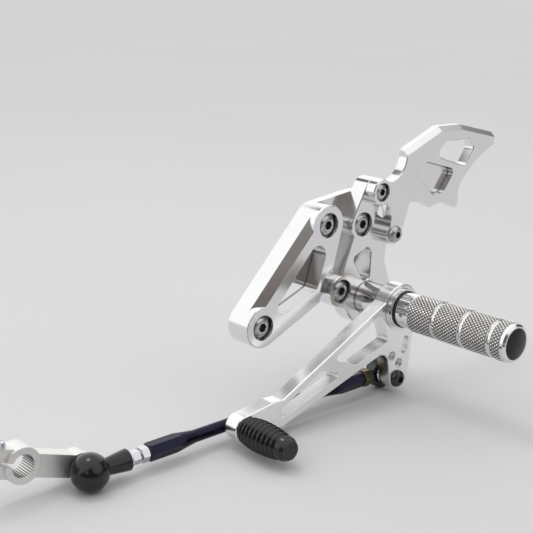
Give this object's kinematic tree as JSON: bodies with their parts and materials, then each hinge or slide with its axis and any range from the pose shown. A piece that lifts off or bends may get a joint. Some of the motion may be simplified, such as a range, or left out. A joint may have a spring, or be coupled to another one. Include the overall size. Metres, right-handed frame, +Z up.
{
  "type": "motorbike rear set footrest",
  "caption": "Gear-shift rear set: pocketed base plate, hanger, hooked heel guard, knurled footpeg and truss shift lever, with an adjustable rod and a clamp arm.",
  "frame": {"origin": "midway between the two frame bolts, on the base plate's flat back face", "axes": "+X to the front of the bike, +Y outboard along the footpeg, +Z up"},
  "size_m": [0.3768, 0.1404, 0.1551],
  "materials": {
    "machined_aluminium": "satin machined",
    "knurled_aluminium": "knurled",
    "cast_aluminium": "fine cast",
    "dark_anodised": "dark anodised",
    "stainless_screws": "bright",
    "bearing_steel": "ground",
    "zinc_steel": "zinc plated",
    "yellow_zinc": "yellow zinc plated",
    "bronze": "plain",
    "black_rubber": "matt",
    "black_plastic": "satin"
  },
  "bodies": {
    "frame_side": {"base_plate": "machined_aluminium", "frame_bolts": "stainless_screws", "peg_hanger": "machined_aluminium", "hanger_bolts": "stainless_screws", "heel_guard": "machined_aluminium", "heel_guard_bolts": "stainless_screws", "pivot_sleeve": "bearing_steel", "thrust_washer": "bronze", "pivot_collar": "machined_aluminium", "footpeg": "knurled_aluminium", "peg_o_ring": "black_rubber", "footpeg_end_plug": "black_plastic", "footpeg_bolt": "stainless_screws"},
    "lever": {"shift_lever": "machined_aluminium", "lever_bush": "bronze", "toe_peg_core": "bearing_steel", "toe_peg_rubber": "black_rubber", "toe_peg_screw": "stainless_screws", "rod_end_bolt": "stainless_screws", "rod_end_spacer": "zinc_steel", "rod_end_ball": "bearing_steel", "rod_end_nut": "zinc_steel"},
    "rod": {"shift_rod": "dark_anodised", "rear_rod_end": "zinc_steel", "rear_lock_nut": "yellow_zinc", "front_lock_nut": "zinc_steel", "front_joint_socket": "zinc_steel", "front_joint_boot": "black_rubber"},
    "arm": {"shift_arm": "cast_aluminium", "ball_stud": "bearing_steel", "ball_stud_nut": "zinc_steel", "pinch_bolt": "zinc_steel"}
  },
  "joints": [
    {"name": "lever_pivot", "type": "hinge", "parent": "frame_side", "child": "lever", "pos_m": [-0.058, 0.0419, -0.0245], "axis": [0, 1, 0], "range_deg": [-12, 12]},
    {"name": "rod_swing", "type": "hinge", "parent": "lever", "child": "rod", "pos_m": [-0.05604, 0.0319, -0.06901], "axis": [0, 1, 0], "range_deg": [-15, 15]},
    {"name": "arm_swing", "type": "hinge", "parent": "rod", "child": "arm", "pos_m": [0.1525, 0.0319, -0.069], "axis": [0, 1, 0], "range_deg": [-25, 25]}
  ]
}
